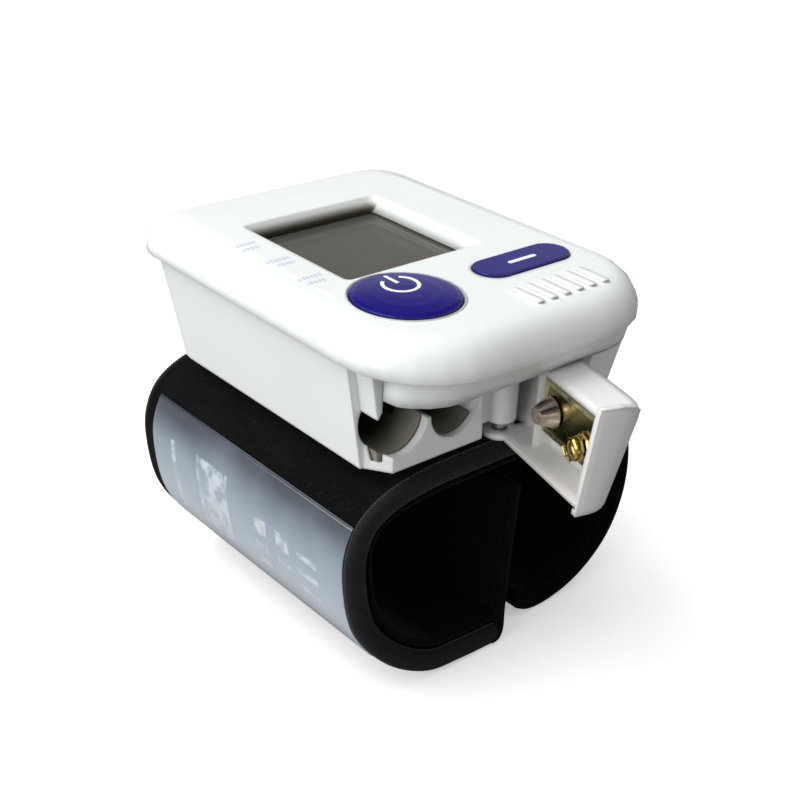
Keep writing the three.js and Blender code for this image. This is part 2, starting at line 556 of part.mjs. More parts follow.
function buildDisplay() {
  const wellBottom = topZ - well.depth;
  const halfGlass = well.bottomWidth / 2 + glass.lap;
  const glassTop = wellBottom - fit;
  const glassBottom = glassTop - glass.thickness;
  const halfPanel = well.bottomWidth / 2 + panel.lap;
  const panelTop = glassBottom - fit;
  const panelBottom = panelTop - panel.thickness;
  const square = (half) => [well.x - half, well.x + half, wellY - half, wellY + half];
  const frameOut = halfGlass + frame.wall;
  const startRoom = post(start.x, start.y, start.radius + start.skirt + fit, 0, topZ, roundSides);
  const frameBody = box(...square(frameOut), boardTop + fit, glassBottom - fit)
    .subtract(box(...square(halfPanel + fit), panelBottom - fit, topZ))
    .subtract(box(...square(halfPanel - frame.wall), 0, topZ));
  return {
    display_window: [box(...square(halfGlass), glassBottom, glassTop), look.glass],
    display_panel: [box(...square(halfPanel), panelBottom, panelTop), look.lcd],
    display_frame: [frameBody.subtract(startRoom), look.inner],
  };
}

function buildBoard() {
  let slab = prism(roundedPlan(-board.half, board.half, board.front, board.back, board.corner), boardBottom, boardTop);
  for (const [x, y] of screwPlaces) slab = slab.subtract(post(x, y, screw.shank + fit, 0, topZ));
  for (const [x, y] of boardScrewPlaces) slab = slab.subtract(post(x, y, boardScrew.shank + fit, 0, topZ));
  const halfChip = chip.side / 2;
  const sensorHalf = sensor.side / 2;
  const sensorBody = box(sensor.x - sensorHalf, sensor.x + sensorHalf, sensor.y - sensorHalf, sensor.y + sensorHalf,
    boardBottom - fit - sensor.height, boardBottom - fit)
    .add(post(sensor.x, sensor.y, sensor.nozzle, boardBottom - sensor.height - sensor.nozzleHeight, boardBottom - sensor.height));
  return {
    main_board: [slab, look.green],
    processor: [box(chip.x - halfChip, chip.x + halfChip, chip.y - halfChip, chip.y + halfChip,
      boardTop + fit, boardTop + chip.height), look.black],
    start_switch: [buildSwitch(start), look.black],
    memory_switch: [buildSwitch(memory), look.black],
    pressure_sensor: [sensorBody, look.black],
  };
}

// The moulded troughs that the cells lie in
function buildCradle() {
  const front = frontWallY + bay.wall + fit;
  const back = cellBack + bay.ribWall;
  const left = -cover.half;
  const right = bay.rightX;
  const low = floorTop + fit;
  const cuspTop = boreZ - cell.bore + bay.cusp - cell.lift;
  let body = box(left, right, front, back, low, boreZ - cell.bore / 2);
  body = body.add(box(left, right, front, front + bay.throat, low, cuspTop));
  for (let number = 1; number <= bay.ribCount; number += 1) {
    const y = front + bay.throat + ((cellBack - front - bay.throat) * number) / (bay.ribCount + 1);
    body = body.add(box(left, right, y, y + bay.ribWall, low, cuspTop));
  }
  body = body.add(box(right - bay.post, right, front, back, low, boreZ + bay.backTop));
  for (const x of cellX) body = body.subtract(barrel(x, boreZ, cell.bore, front - over, cellBack, roundSides));
  body = body.add(box(left, right, cellBack, back, low, boreZ + bay.backTop));
  const postRoom = box(right - bay.post - fit, right + fit, -cover.front, frontWallY + bay.throat + fit, 0, topZ);
  return body.intersect(tub(housing.wall + fit, floorTop, partZ)).subtract(postRoom);
}

function buildBackContacts() {
  const half = backContact.side / 2;
  const leaf = (x) => box(x - half, x + half, cellBack - fit - backContact.thickness, cellBack - fit,
    boreZ - half, boreZ + half).intersect(barrel(x, boreZ, cell.bore - fit, 0, cellBack, roundSides));
  const face = cellBack - fit - backContact.thickness - backContact.wire;
  const spring = coil(cellX[1], boreZ, backContact.springRadius, backContact.springRadius, backContact.wire,
    backContact.turns, face - backContact.length, face - fit);
  return { back_contact_left: [leaf(cellX[0]), look.brass], back_contact_right: [leaf(cellX[1]), look.brass],
    back_spring: [spring, look.steel] };
}

// The door is drawn shut and then turned open about its pin
const sillBottom = plateBottom;
const contactY = frontWallY - fit - doorContact.setback;

function turnOpen(solid) {
  return solid.translate([-door.pivotX, -door.pivotY, 0]).rotate([0, 0, door.openTurn])
    .translate([door.pivotX, door.pivotY, 0]);
}

function buildDoor() {
  const far = cover.half + over;
  const reach = cover.front + over;
  const solidForm = tub(0, sillBottom, partZ);
  const lipRoom = post(door.pivotX, door.pivotY, lipTurn + fit, ledgeTop, topZ, 4 * roundSides);
  const skin = solidForm.subtract(tub(door.wall, sillBottom - over, partZ + over))
    .intersect(doorZone(fit).add(sillZone())).intersect(belowWrap()).subtract(lipRoom);
  const sill = box(-far, door.pivotX, -reach, housing.bottomFront + door.sillDepth, sillBottom, plateTop)
    .intersect(solidForm);
  const ledge = box(-far, door.pivotX, -reach, frontWallY - fit, ledgeTop - door.ledge, ledgeTop).intersect(solidForm);
  const cheekAt = (x) => box(x, x + door.cheek, -reach, frontWallY - fit, plateTop - fit, ledgeTop).intersect(solidForm);
  const cheekGap = doorContact.half + fit;
  const disc = (z0, z1) => post(door.pivotX, door.pivotY, door.knuckle, z0, z1, roundSides);
  const body = join([skin, sill, ledge, cheekAt(cell.x + cheekGap), cheekAt(cell.x - cheekGap - door.cheek),
    disc(sillBottom, plateTop), disc(ledgeTop - door.ledge, ledgeTop)]);
  return body.subtract(post(door.pivotX, door.pivotY, door.pin + fit, 0, topZ));
}

// Room for the sill, which passes under the housing
function sillZone() {
  return box(-cover.half, door.pivotX, -cover.front, bay.seamY - fit, 0, plateTop);
}

function buildDoorContacts() {
  const low = boreZ - doorContact.height / 2;
  const leaf = box(cell.x - doorContact.half, cell.x + doorContact.half, contactY, contactY + doorContact.thickness,
    low, low + doorContact.height).intersect(tub(door.wall + fit, sillBottom, partZ));
  const face = contactY + doorContact.thickness + fit;
  const cup = barrel(cellX[1], boreZ, doorContact.cupBase, face, face + doorContact.cupHeight, roundSides, doorContact.cupTop)
    .subtract(barrel(cellX[1], boreZ, doorContact.cupBase - doorContact.cupWall, face - fit,
      face + doorContact.cupHeight - doorContact.cupWall, roundSides, doorContact.cupTop - doorContact.cupWall));
  const coilFront = face + doorContact.wire;
  const spring = coil(cellX[0], boreZ, doorContact.coilBase, doorContact.coilTop, doorContact.wire, doorContact.turns,
    coilFront, coilFront + doorContact.coilHeight);
  return { door_contact_plate: [turnOpen(leaf), look.brass], door_contact_cup: [turnOpen(cup), look.brass],
    door_contact_spring: [turnOpen(spring), look.steel] };
}

// Pump, valve and the air way down to the cuff
function buildPump() {
  const motorZ = floorTop + fit + motor.radius;
  const motorBack = motor.front + motor.length;
  const motorBody = barrel(motor.x, motorZ, motor.radius, motor.front, motorBack, roundSides)
    .add(barrel(motor.x, motorZ, motor.capRadius, motorBack, motorBack + motor.cap));
  const halfHead = head.side / 2;
  const headBack = motor.front - fit;
  const headBody = box(motor.x - halfHead, motor.x + halfHead, headBack - head.length, headBack,
    floorTop + fit, floorTop + fit + head.side);
  const valveBody = box(valve.x - valve.width / 2, valve.x + valve.width / 2, valve.y - valve.length / 2,
    valve.y + valve.length / 2, floorTop + fit, floorTop + fit + valve.height)
    .add(post(valve.x, valve.y, valve.nozzle, floorTop + valve.height, floorTop + fit + valve.height + valve.nozzleHeight));
  const bladderTop = cuff.height - cuff.sleeve - cuff.former - 2 * cuff.gap;
  const nippleBottom = bladderTop + fit / 2;
  const nippleTop = floorTop + nipple.rise;
  const nippleBody = post(nipple.x, nipple.y, nipple.radius, nippleBottom, nippleTop)
    .add(post(nipple.x, nipple.y, nipple.flange, nippleBottom, nippleBottom + nipple.flangeThickness))
    .subtract(post(nipple.x, nipple.y, nipple.bore, 0, topZ));
  const sensorEnd = boardBottom - sensor.height - sensor.nozzleHeight - fit;
  const path = new THREE.CatmullRomCurve3([
    new THREE.Vector3(nipple.x, nipple.y, nippleTop + fit),
    new THREE.Vector3(nipple.x, nipple.y, nippleTop + hose.outer),
    new THREE.Vector3(nipple.x, nipple.y + hose.outer, nippleTop + 2 * hose.outer),
    new THREE.Vector3(sensor.x, sensor.y - 2 * hose.outer, sensorEnd - 3 * hose.outer),
    new THREE.Vector3(sensor.x, sensor.y, sensorEnd - hose.outer),
    new THREE.Vector3(sensor.x, sensor.y, sensorEnd),
  ], false, "centripetal");
  const ring = new THREE.Shape().absarc(0, 0, hose.outer, 0, 2 * Math.PI);
  ring.holes.push(new THREE.Path().absarc(0, 0, hose.inner, 0, 2 * Math.PI, true));
  const hoseBody = toSolid(new THREE.ExtrudeGeometry(ring, { steps: 18, curveSegments: 5, extrudePath: path, bevelEnabled: false }));
  return {
    pump_motor: [motorBody, look.steel], pump_head: [headBody, look.black], air_valve: [valveBody, look.black],
    air_nipple: [nippleBody, look.hose], air_hose: [hoseBody, look.hose],
  };
}

function buildFasteners() {
  const headTop = floorTop + screw.headHeight - fit;
  const fasteners = {};
  screwPlaces.forEach(([x, y], number) => {
    const body = post(x, y, screw.head, headTop - screw.headHeight, headTop)
      .add(post(x, y, screw.shank, headTop, underTop - 2 * fit - over));
    fasteners[`housing_screw_${number + 1}`] = [body, look.steel];
  });
  boardScrewPlaces.forEach(([x, y], number) => {
    const body = post(x, y, boardScrew.head, boardBottom - fit - boardScrew.headHeight, boardBottom - fit)
      .add(post(x, y, boardScrew.shank, boardBottom - fit, underTop - 2 * fit - over));
    fasteners[`board_screw_${number + 1}`] = [body, look.steel];
  });
  const pin = post(door.pivotX, door.pivotY, door.pin, sillBottom, ledgeTop + fit);
  const cuffPlate = prism(roundedPlan(-plate.half, plate.half, plate.front, plate.back, plate.corner), plateBottom, plateTop)
    .subtract(post(nipple.x, nipple.y, nipple.radius + fit, 0, topZ));
  const disc = post(rib.x, buzzerY, buzzer.radius, underTop - fit - buzzer.thickness, underTop - fit, roundSides);
  return {
    ...fasteners,
    hinge_pin: [pin, look.steel],
    cuff_plate: [cuffPlate, look.inner], buzzer: [disc, look.black],
  };
}

const group = new THREE.Group();
function addPiece(name, solid, material) {
  const mesh = new THREE.Mesh(toGeometry(solid), material);
  mesh.name = name;
  group.add(mesh);
}

const pieces = {
  top_cover: [buildCover(), look.white],
  lower_housing: [buildHousing(), look.white],
  ...buildButtons(),
  ...buildDisplay(),
  ...buildBoard(),
  cell_cradle: [buildCradle(), look.inner],
  ...buildBackContacts(),
  battery_door: [turnOpen(buildDoor()), look.white],
  ...buildDoorContacts(),
  ...buildPump(),
  ...buildFasteners(),
  ...buildCuff(),
};
for (const [name, [solid, material]] of Object.entries(pieces)) addPiece(name, solid, material);

export default group;
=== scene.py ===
import math
import bmesh
import bpy
from mathutils import Matrix, Vector, noise


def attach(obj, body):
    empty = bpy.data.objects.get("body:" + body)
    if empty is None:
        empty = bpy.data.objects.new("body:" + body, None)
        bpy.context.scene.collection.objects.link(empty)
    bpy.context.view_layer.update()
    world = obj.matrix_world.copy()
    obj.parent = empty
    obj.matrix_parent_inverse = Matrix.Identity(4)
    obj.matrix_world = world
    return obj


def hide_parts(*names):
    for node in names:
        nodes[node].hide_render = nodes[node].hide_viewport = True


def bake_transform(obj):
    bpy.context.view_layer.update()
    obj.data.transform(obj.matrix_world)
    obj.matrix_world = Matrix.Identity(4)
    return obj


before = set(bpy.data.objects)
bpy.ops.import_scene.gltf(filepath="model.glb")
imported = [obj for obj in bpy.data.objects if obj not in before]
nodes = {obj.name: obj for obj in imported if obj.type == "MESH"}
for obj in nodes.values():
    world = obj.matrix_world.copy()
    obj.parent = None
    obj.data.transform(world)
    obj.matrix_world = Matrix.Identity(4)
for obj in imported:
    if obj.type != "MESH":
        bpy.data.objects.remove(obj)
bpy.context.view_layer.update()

mm = 0.001


# material helpers

class Flow:  # a socket on its way through a material, so that sums read as sums
    def __init__(self, recipe, socket):
        self.recipe = recipe
        self.socket = socket

    def __add__(self, other):
        return self.recipe.maths("ADD", self, other)

    def __radd__(self, other):
        return self.recipe.maths("ADD", other, self)

    def __sub__(self, other):
        return self.recipe.maths("SUBTRACT", self, other)

    def __rsub__(self, other):
        return self.recipe.maths("SUBTRACT", other, self)

    def __mul__(self, other):
        return self.recipe.maths("MULTIPLY", self, other)

    def __rmul__(self, other):
        return self.recipe.maths("MULTIPLY", other, self)

    def __truediv__(self, other):
        return self.recipe.maths("DIVIDE", self, other)

    def __rtruediv__(self, other):
        return self.recipe.maths("DIVIDE", other, self)

    def __gt__(self, other):
        return self.recipe.maths("GREATER_THAN", self, other)

    def __lt__(self, other):
        return self.recipe.maths("LESS_THAN", self, other)


def tone(code):  # a screen colour such as f2f3f5 as Blender's linear colour
    parts = [int(code[start:start + 2], 16) / 255 for start in (0, 2, 4)]
    linear = [part / 12.92 if part <= 0.04045 else ((part + 0.055) / 1.055) ** 2.4 for part in parts]
    return (*linear, 1)


class Recipe:  # the nodes of one material, or of the world
    def __init__(self, owner):
        self.material = owner if isinstance(owner, bpy.types.World) else bpy.data.materials.new(owner)
        self.material.use_nodes = True
        self.tree = self.material.node_tree
        self.tree.nodes.clear()

    def add(self, kind, settings=None, sockets=None, out=0):
        node = self.tree.nodes.new(kind)
        for name, value in (settings or {}).items():
            setattr(node, name, value)
        for name, value in (sockets or {}).items():
            if isinstance(value, Flow):
                self.tree.links.new(value.socket, node.inputs[name])
            else:
                node.inputs[name].default_value = value
        return Flow(self, node.outputs[out]) if node.outputs else None

    def maths(self, operation, first, second=0.0):
        return self.add("ShaderNodeMath", {"operation": operation}, {0: first, 1: second})

    def most(self, first, second):
        return self.maths("MAXIMUM", first, second)

    def union(self, masks):
        whole = masks[0]
        for mask in masks[1:]:
            whole = self.most(whole, mask)
        return whole

    def size(self, value):
        return self.maths("ABSOLUTE", value)

    def fraction(self, value):
        return self.maths("FRACT", value)

    def step(self, value, low, high, start=0.0, end=1.0):  # a soft step from start to end
        return self.add("ShaderNodeMapRange", {"interpolation_type": "SMOOTHSTEP"},
                        {"Value": value, "From Min": low, "From Max": high, "To Min": start, "To Max": end})

    def fall(self, value, low, high):
        return self.step(value, low, high, start=1.0, end=0.0)

    def near(self, value, middle, half, soft):  # 1 up to half away from the middle, then softly 0
        return self.fall(self.size(value - middle), half, half + soft)

    def mix(self, mask, first, second):  # two colours by a mask
        return self.add("ShaderNodeMix", {"data_type": "RGBA"}, {0: mask, 6: first, 7: second}, out=2)

    def mixVectors(self, mask, first, second):
        return self.add("ShaderNodeMix", {"data_type": "VECTOR"}, {0: mask, 4: first, 5: second}, out=1)

    def ray(self, name):
        return self.add("ShaderNodeLightPath", out=name)

    def spot(self):  # the place on the object, in mm
        coordinates = self.add("ShaderNodeTexCoord", out="Object")
        return self.add("ShaderNodeVectorMath", {"operation": "SCALE"}, {0: coordinates, "Scale": 1 / mm})

    def axis(self, spot, name):
        return self.add("ShaderNodeSeparateXYZ", None, {0: spot}, out=name)

    def reach(self, spot, way):  # how far a place lies along a way
        return self.add("ShaderNodeVectorMath", {"operation": "DOT_PRODUCT"}, {0: spot, 1: way}, out="Value")

    def stretch(self, spot, factors):
        return self.add("ShaderNodeVectorMath", {"operation": "MULTIPLY"}, {0: spot, 1: factors})

    def grain(self, spot, scale, detail=2.0, rough=0.5, warp=0.0):
        sockets = {"Vector": spot, "Scale": scale, "Detail": detail, "Roughness": rough, "Distortion": warp}
        return self.add("ShaderNodeTexNoise", None, sockets)

    def patches(self, spot, scale, rough, low, high, start=0.0, end=1.0):  # worn or dull patches
        return self.step(self.grain(spot, scale, 4.0, rough), low, high, start, end)

    def cells(self, spot, scale):  # one random colour for each cell
        return self.add("ShaderNodeTexVoronoi", None, {"Vector": spot, "Scale": scale}, out="Color")

    def roundEdges(self, radius, samples=6):  # softens moulded edges in the shading
        return self.add("ShaderNodeBevel", {"samples": samples}, {"Radius": radius * mm})

    def bump(self, height, depth, normal=None):
        sockets = {"Height": height, "Strength": 1.0, "Distance": depth * mm}
        if normal:
            sockets["Normal"] = normal
        return self.add("ShaderNodeBump", None, sockets)

    def finish(self, sockets):
        surface = self.add("ShaderNodeBsdfPrincipled", None, sockets)
        self.add("ShaderNodeOutputMaterial", None, {"Surface": surface})
        return self.material


# shape helpers

def pieceFrom(name, points, faces, material, body=None, smooth=True):  # points in mm
    mesh = bpy.data.meshes.new(name)
    mesh.from_pydata([Vector(point) * mm for point in points], [], faces)
    work = bmesh.new()
    work.from_mesh(mesh)
    bmesh.ops.recalc_face_normals(work, faces=work.faces)
    work.to_mesh(mesh)
    work.free()
    mesh.polygons.foreach_set("use_smooth", [smooth] * len(mesh.polygons))
    mesh.materials.append(material)
    piece = bpy.data.objects.new(name, mesh)
    bpy.context.scene.collection.objects.link(piece)
    if body:
        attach(piece, body)
    return piece


def curveThrough(points, steps=40):  # many spots of a smooth curve, with no overshoot at uneven points
    spots = [Vector(point) for point in points]
    spots = [2 * spots[0] - spots[1], *spots, 2 * spots[-1] - spots[-2]]
    curve = []
    for first, start, end, last in zip(spots, spots[1:], spots[2:], spots[3:]):
        chords = ((first, start), (start, end), (end, last))
        before, gap, after = [math.sqrt((b - a).length) for a, b in chords]
        run = (end - start) / gap
        leave = ((start - first) / before - (end - first) / (before + gap) + run) * gap
        arrive = (run - (last - start) / (gap + after) + (last - end) / after) * gap
        for number in range(steps):
            t = number / steps
            curve.append(start * (2 * t ** 3 - 3 * t ** 2 + 1) + leave * (t ** 3 - 2 * t ** 2 + t)
                         + end * (3 * t ** 2 - 2 * t ** 3) + arrive * (t ** 3 - t ** 2))
    curve.append(spots[-2])
    return curve


def lineThrough(points, spacing, ends=0.0):  # even steps in X and Z, each with its place, direction and way
    curve = curveThrough(points)
    ways = [0.0]
    for a, b in zip(curve, curve[1:]):
        ways.append(ways[-1] + (b - a).length)
    count = max(2, round(ways[-1] / spacing))
    wanted = [ways[-1] * number / count for number in range(count + 1)]
    if ends:  # closer steps where an end is rounded off
        close = [ends * share for share in (0.03, 0.12, 0.3, 0.6)]
        wanted = sorted({*wanted, *close, *[ways[-1] - way for way in close]})
    line = []
    low = 0
    for way in wanted:
        while low < len(ways) - 2 and ways[low + 1] < way:
            low += 1
        part = (way - ways[low]) / (ways[low + 1] - ways[low])
        place = curve[low].lerp(curve[low + 1], part)
        direction = (curve[min(low + 2, len(curve) - 1)] - curve[max(low - 1, 0)]).normalized()
        line.append((place, direction, way))
    return line


def fromStart(line):  # the same steps, with their ways counted from the first
    return [(place, direction, way - line[0][2]) for place, direction, way in line]


def loopMesh(loops):  # joins equal loops into one closed skin with flat ends
    count = len(loops[0])
    points = [point for loop in loops for point in loop]
    faces = []
    for row in range(len(loops) - 1):
        for side in range(count):
            a = row * count + side
            b = row * count + (side + 1) % count
            faces.append((a, b, b + count, a + count))
    faces.append(tuple(range(count)))
    faces.append(tuple(range(len(points) - 1, len(points) - 1 - count, -1)))
    return points, faces


def bandSection(front, back, low, high, radius, columns):  # once round a band: y, depth and which face
    face = [front + radius + (back - front - 2 * radius) * column / columns for column in range(columns + 1)]
    middle = (low + high) / 2

    def corner(y, out, depth, down, steps=4):
        points = []
        for step in range(1, steps):
            angle = math.pi / 2 * step / steps
            points.append((y - out * radius + out * radius * math.sin(angle),
                           depth + down * radius - down * radius * math.cos(angle), 0))
        return points

    return [*[(y, low, 1) for y in face],
            *corner(back, 1, low, 1), (back, middle, 0), *reversed(corner(back, 1, high, -1)),
            *[(y, high, -1) for y in reversed(face)],
            *corner(front, -1, high, -1), (front, middle, 0), *reversed(corner(front, -1, low, 1))]


def bandSkin(line, turn, front, back, band):  # a strip that grows to one side of the line, 1 or -1
    deepestInset = 0.45  # of the thickness, which leaves a blunt end
    edgeLoss = 0.9  # how fast the edges lose their rounding there
    ends = band["ends"]
    thickness = band["bottom"] - band["top"]
    total = line[-1][2]
    loops = []
    for place, direction, way in line:
        left = min(way, total - way)
        inset = ends - math.sqrt(max(0.0, ends ** 2 - (ends - left) ** 2)) if left < ends else 0.0
        inset = min(inset, thickness * deepestInset)
        inward = Vector((-direction.y, direction.x)) * turn
        radius = min(band["edge"], thickness / 2 - inset * edgeLoss)
        loop = []
        for y, depth, side in bandSection(front, back, band["top"] + inset, band["bottom"] - inset, radius,
                                          band["columns"]):
            point = place + inward * (depth + swellAt(way, y, side, band))
            loop.append((point.x, y, point.y))
        loops.append(loop)
    return loopMesh(loops)


def swellAt(way, y, side, band):  # cloth isn't quite even, but its edges stay straight
    if "swell" not in band or not side:
        return 0.0
    value = noise.noise(Vector((way * band["scale"], y * band["scale"], band["seed"])))
    return side * band["swell"] * (0.5 + 0.5 * value)


# camera, floor, world and lamps

def setCamera():
    view = {
        "place": (-148.4, -170.0, 158.4), "lens": 63, "sensor": 36, "nearest": 0.01,
        "right": (0.761210, -0.647058, 0.043308),
        "up": (0.271061, 0.378127, 0.885181),
        "back": (-0.589139, -0.662070, 0.463226),
    }
    data = bpy.data.cameras.new("camera")
    data.lens = view["lens"]
    data.sensor_width = view["sensor"]
    data.clip_start = view["nearest"]
    camera = bpy.data.objects.new("camera", data)
    turn = Matrix((view["right"], view["up"], view["back"])).transposed().to_4x4()
    camera.matrix_world = Matrix.Translation(Vector(view["place"]) * mm) @ turn
    bpy.context.scene.collection.objects.link(camera)
    bpy.context.scene.camera = camera


def setFloor():  # white to the camera, and greyer to the object, so that less light bounces up
    ground = {"half": 4000.0, "height": -0.02, "colour": "fbf9fa", "bounce": "98989a", "glow": 0.4}
    recipe = Recipe("pale_floor")
    seen = recipe.most(recipe.ray("Is Camera Ray"), recipe.ray("Is Transmission Ray"))
    colour = recipe.mix(seen, tone(ground["bounce"]), tone(ground["colour"]))
    lit = recipe.add("ShaderNodeBsdfDiffuse", None, {"Color": colour})
    glow = recipe.add("ShaderNodeEmission", None, {"Color": (1, 1, 1, 1), "Strength": seen * ground["glow"]})
    both = recipe.add("ShaderNodeAddShader", None, {0: lit, 1: glow})
    recipe.add("ShaderNodeOutputMaterial", None, {"Surface": both})
    corners = [(x * ground["half"], y * ground["half"], ground["height"])
               for x, y in ((-1, -1), (1, -1), (1, 1), (-1, 1))]
    floor = pieceFrom("floor", corners, [(0, 1, 2, 3)], recipe.material, smooth=False)


def setWorld():  # white to the camera, bright low down in mirrors, and soft light from the upper left
    studio = {
        "from": (-0.46, 0.32, 0.83), "softLow": -0.5, "softHigh": 0.95, "dim": 0.08, "bright": 0.82,
        "mirrorLow": 0.32, "mirrorHigh": 0.46, "horizon": 0.5, "ceiling": 0.03,
    }
    world = bpy.data.worlds.new("studio")
    bpy.context.scene.world = world
    sky = Recipe(world)
    direction = sky.add("ShaderNodeTexCoord", out="Generated")
    side = sky.reach(direction, studio["from"])
    seen = sky.most(sky.ray("Is Camera Ray"), sky.ray("Is Transmission Ray"))
    glossy = sky.ray("Is Glossy Ray")
    mirrored = sky.step(sky.axis(direction, "Z"), studio["mirrorLow"], studio["mirrorHigh"],
                        studio["horizon"], studio["ceiling"])
    soft = sky.step(side, studio["softLow"], studio["softHigh"], studio["dim"], studio["bright"])
    strength = seen + (1 - seen) * (glossy * mirrored + (1 - glossy) * soft)
    shine = sky.add("ShaderNodeBackground", None, {"Color": (1, 1, 1, 1), "Strength": strength})
    sky.add("ShaderNodeOutputWorld", None, {"Surface": shine})


def setLamps():
    lamps = {
        "key": {"place": (-0.44, 0.28, 0.74), "size": 0.7, "power": 5.4},
        "front": {"place": (-0.92, -0.1, 0.34), "size": 0.6, "power": 3.0},
    }
    aim = Vector((0, 0, 0.04))
    for name, lamp in lamps.items():
        data = bpy.data.lights.new(name, "AREA")
        data.shape = "SQUARE"
        data.size = lamp["size"]
        data.energy = lamp["power"]
        light = bpy.data.objects.new(name, data)
        place = Vector(lamp["place"])
        light.location = place
        light.rotation_euler = (aim - place).to_track_quat("-Z", "Y").to_euler()
        bpy.context.scene.collection.objects.link(light)


setCamera()
setFloor()
setWorld()
setLamps()
bpy.context.scene.view_settings.view_transform = "Standard"
print("stage: camera, floor and lights stand")


# moulded plastics

def mouldedGround(recipe, spot, roughness):  # what the pale plastics share: cloud, fine grain and roughness
    uneven = {"cloud": 0.08, "wear": 0.06}
    cloud = recipe.grain(spot, scale=0.06, detail=3.0)
    fine = recipe.grain(spot, scale=3.5, detail=2.0, rough=0.6)
    wear = recipe.patches(spot, scale=0.35, rough=0.7, low=0.55, high=0.75)
    return cloud, fine, roughness + (cloud - 0.5) * uneven["cloud"] + wear * uneven["wear"]


def mouldedPlastic(name, colour, roughness, edge, coat=0.0, mottle=0.05, texture=0.012, samples=6):
    recipe = Recipe(name)
    cloud, fine, rough = mouldedGround(recipe, recipe.spot(), roughness)
    bright = tone(colour)
    dull = tuple(part * (1 - mottle) for part in bright[:3]) + (1,)
    return recipe.finish({
        "Base Color": recipe.mix(cloud, bright, dull), "Roughness": rough,
        "Normal": recipe.bump(fine, texture, recipe.roundEdges(edge, samples)),
        "Coat Weight": coat, "Coat Roughness": 0.1, "IOR": 1.46,
    })


def seamMask(recipe, across, along, height):  # painted shade under the lip, and the dark parting line along the flank
    seam = {"lip": 60.6, "lipSoft": 0.25, "flank": 64.4, "half": 0.2, "soft": 0.15, "front": -28.4,
            "left": -4.0, "right": 9.0}
    # painted shade: everything below the lip's bottom edge is darkened
    lip = recipe.fall(height, seam["lip"], seam["lip"] + seam["lipSoft"])
    # a real dark parting line: a thin band along the flank
    flank = recipe.near(height, seam["flank"], seam["half"], seam["soft"]) * (along > seam["front"])
    return recipe.most(lip, flank) * recipe.step(across, seam["left"], seam["right"])


def wellShadeMask(recipe, across, along, height):  # painted shade on the back wall of the display well, darkest down at the well's floor
    well = {"floor": 68.7, "top": 70.7, "x": -2.6, "half": 14.7, "halfSoft": 0.3,
            "wall": 19.1, "wallSoft": 0.5, "behind": 21.4}
    low = recipe.fall(height, well["floor"], well["top"])
    within = recipe.near(across, well["x"], well["half"], well["halfSoft"])
    wall = recipe.step(along, well["wall"] - well["wallSoft"], well["wall"]) * (along < well["behind"])
    return low * within * wall


def tickMask(recipe, across, along, height):  # three pairs of short printed rows of ticks beside the well
    ticks = {"places": [(-22.2, 12.2), (-21.4, 3.5), (-21.6, -5.3)], "rows": [(1.2, 2.3), (-0.9, 1.8)],
             "half": 0.42, "halfSoft": 0.18, "endSoft": 0.15, "pitch": 0.8, "gap": 0.35, "above": 70.7}
    rows = []
    for x, y in ticks["places"]:
        for shift, half in ticks["rows"]:
            rows.append(recipe.near(along, y + shift, ticks["half"], ticks["halfSoft"])
                        * recipe.near(across, x, half, ticks["endSoft"]))
    gaps = recipe.fraction(across / ticks["pitch"]) > ticks["gap"]
    return recipe.union(rows) * gaps * (height > ticks["above"])


def scratchMask(recipe, spot, across, height):  # fine scratches on the left part of the front lip
    scratch = {"stretch": (0.5, 0.5, 5.0), "low": 0.62, "high": 0.7, "top": 61.6, "foot": 60.9,
               "right": -4.0, "left": -12.0}
    lines = recipe.grain(recipe.stretch(spot, scratch["stretch"]), scale=1.6, detail=3.0, rough=0.6, warp=2.0)
    return (recipe.step(lines, scratch["low"], scratch["high"])
            * recipe.step(height, scratch["top"], scratch["foot"])
            * recipe.step(across, scratch["right"], scratch["left"]))


def shellPlastic(name):
    shell = {
        "white": "f1f5f3", "dull": "e6eae8", "roughness": 0.3, "coat": 0.15,
        "texture": 0.012, "scratchDepth": 6.0,
        # the seam colour is painted shade under the lip and also the dark parting line; the deep colour is
        # painted shade in the display well
        "seam": "6b625d", "seamDark": 0.85, "deepShade": "55513a", "print": "b9bfe0", "printDark": 0.8,
        "flankRounding": 3.8, "flankSamples": 16, "topRounding": 1.2, "topSamples": 12,
        "flankTop": 70.2, "topFoot": 70.6,
    }
    recipe = Recipe(name)
    spot = recipe.spot()
    across, along, height = [recipe.axis(spot, letter) for letter in "XYZ"]
    cloud, fine, rough = mouldedGround(recipe, spot, shell["roughness"])
    shade = recipe.mix(cloud, tone(shell["white"]), tone(shell["dull"]))
    # painted shade under the lip, and a dark parting line along the flank
    seams = seamMask(recipe, across, along, height)
    shade = recipe.mix(seams * shell["seamDark"], shade, tone(shell["seam"]))
    # painted shade on the display well's back wall
    shade = recipe.mix(wellShadeMask(recipe, across, along, height), shade, tone(shell["deepShade"]))
    ticks = tickMask(recipe, across, along, height)
    shade = recipe.mix(ticks * shell["printDark"], shade, tone(shell["print"]))
    # the flank needs more rounding than the top with its ribs
    flank = recipe.step(height, shell["topFoot"], shell["flankTop"])
    rounded = recipe.mixVectors(flank, recipe.roundEdges(shell["topRounding"], shell["topSamples"]),
                                recipe.roundEdges(shell["flankRounding"], shell["flankSamples"]))
    relief = fine + scratchMask(recipe, spot, across, height) * shell["scratchDepth"]
    return recipe.finish({
        "Base Color": shade, "Roughness": rough, "Normal": recipe.bump(relief, shell["texture"], rounded),
        "Coat Weight": shell["coat"], "Coat Roughness": 0.1, "IOR": 1.46,
    })


